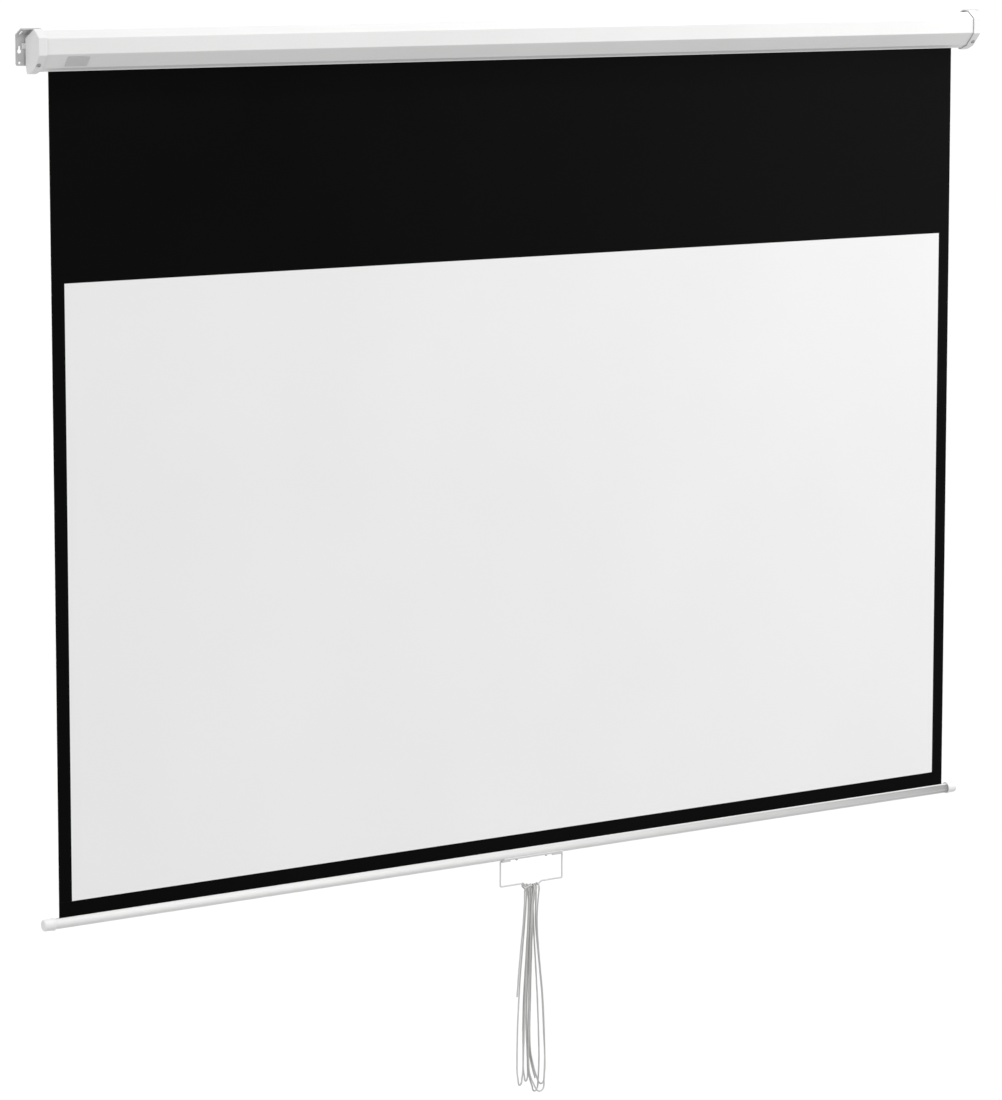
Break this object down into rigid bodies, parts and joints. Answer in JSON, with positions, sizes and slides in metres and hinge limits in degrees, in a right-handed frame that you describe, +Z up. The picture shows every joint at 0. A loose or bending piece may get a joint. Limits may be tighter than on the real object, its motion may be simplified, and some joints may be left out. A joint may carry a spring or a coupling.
{
  "type": "projector screen",
  "caption": "Pull-down projector screen: faceted white housing with a spring roller, black-bordered white sheet, round bottom bar, wire pull bail and hanging pull cord.",
  "frame": {"origin": "in the wall plane, midway between the two brackets, level with their keyholes", "axes": "+X along the housing to the viewer's right, +Y into the wall, +Z up; the front looks along -Y"},
  "size_m": [2.016, 0.054, 1.9426],
  "materials": {
    "casing_white": "satin white powder coat",
    "label_metal": "brushed, bare",
    "cap_white": "fine moulded texture",
    "screw_steel": "darkened zinc",
    "zinc_steel": "zinc plated",
    "spring_steel": "oiled",
    "nylon": "natural",
    "roller_metal": "mill",
    "sheet_white": "matt white vinyl on a woven back, black borders printed",
    "sheet_black": "matt black",
    "bar_white": "satin white",
    "bail_white": "white dipped wire",
    "cord_grey": "braided"
  },
  "bodies": {
    "housing": {"casing": "casing_white", "label_plate": "label_metal", "end_cap_left": "cap_white", "end_cap_right": "cap_white", "cap_screw_left": "screw_steel", "cap_screw_right": "screw_steel", "bracket_left": "zinc_steel", "bracket_right": "zinc_steel", "bracket_screw_left": "screw_steel", "bracket_screw_right": "screw_steel", "shaft_holder": "zinc_steel", "spring_shaft": "zinc_steel", "ratchet_hub": "zinc_steel", "torsion_spring": "spring_steel", "bearing_bush": "nylon", "screen_fabric": "sheet_white"},
    "roller": {"roller_tube": "roller_metal", "fabric_wraps": "sheet_black", "roller_plug_left": "nylon", "roller_plug_right": "nylon", "roller_pin": "zinc_steel", "spring_anchor": "nylon"},
    "pawl_lever": {"pawl": "zinc_steel"},
    "bar": {"bottom_bar": "bar_white", "fabric_hem": "sheet_black", "hem_rod": "zinc_steel", "bar_cap_left": "cap_white", "bar_cap_right": "cap_white", "bail_mount": "cap_white", "bail_screw_left": "screw_steel", "bail_screw_right": "screw_steel"},
    "bail": {"pull_bail": "bail_white"},
    "cord": {"cord_wraps": "cord_grey", "cord_hank": "cord_grey"}
  },
  "joints": [
    {"name": "screen_travel", "type": "slide", "parent": "housing", "child": "bar", "axis": [0, 0, 1], "range_m": [0, 1.414], "deforming": ["screen_fabric"]},
    {"name": "roller_spin", "type": "hinge", "parent": "housing", "child": "roller", "pos_m": [0, -0.0292, 0.004], "axis": [1, 0, 0], "range_deg": [0, 4320]},
    {"name": "pawl_swing", "type": "hinge", "parent": "roller", "child": "pawl_lever", "pos_m": [-0.97075, -0.0197, -0.008], "axis": [1, 0, 0], "range_deg": [-12, 0]},
    {"name": "bail_swing", "type": "hinge", "parent": "bar", "child": "bail", "pos_m": [0, -0.01225, -1.4771], "axis": [1, 0, 0], "range_deg": [-90, 10]},
    {"name": "cord_swing", "type": "hinge", "parent": "bail", "child": "cord", "pos_m": [0, -0.01225, -1.5306], "axis": [1, 0, 0], "range_deg": [-30, 90]}
  ],
  "couplings": [
    {"joint": "roller_spin", "follows": "screen_travel", "rad_per_m": 53.32}
  ]
}
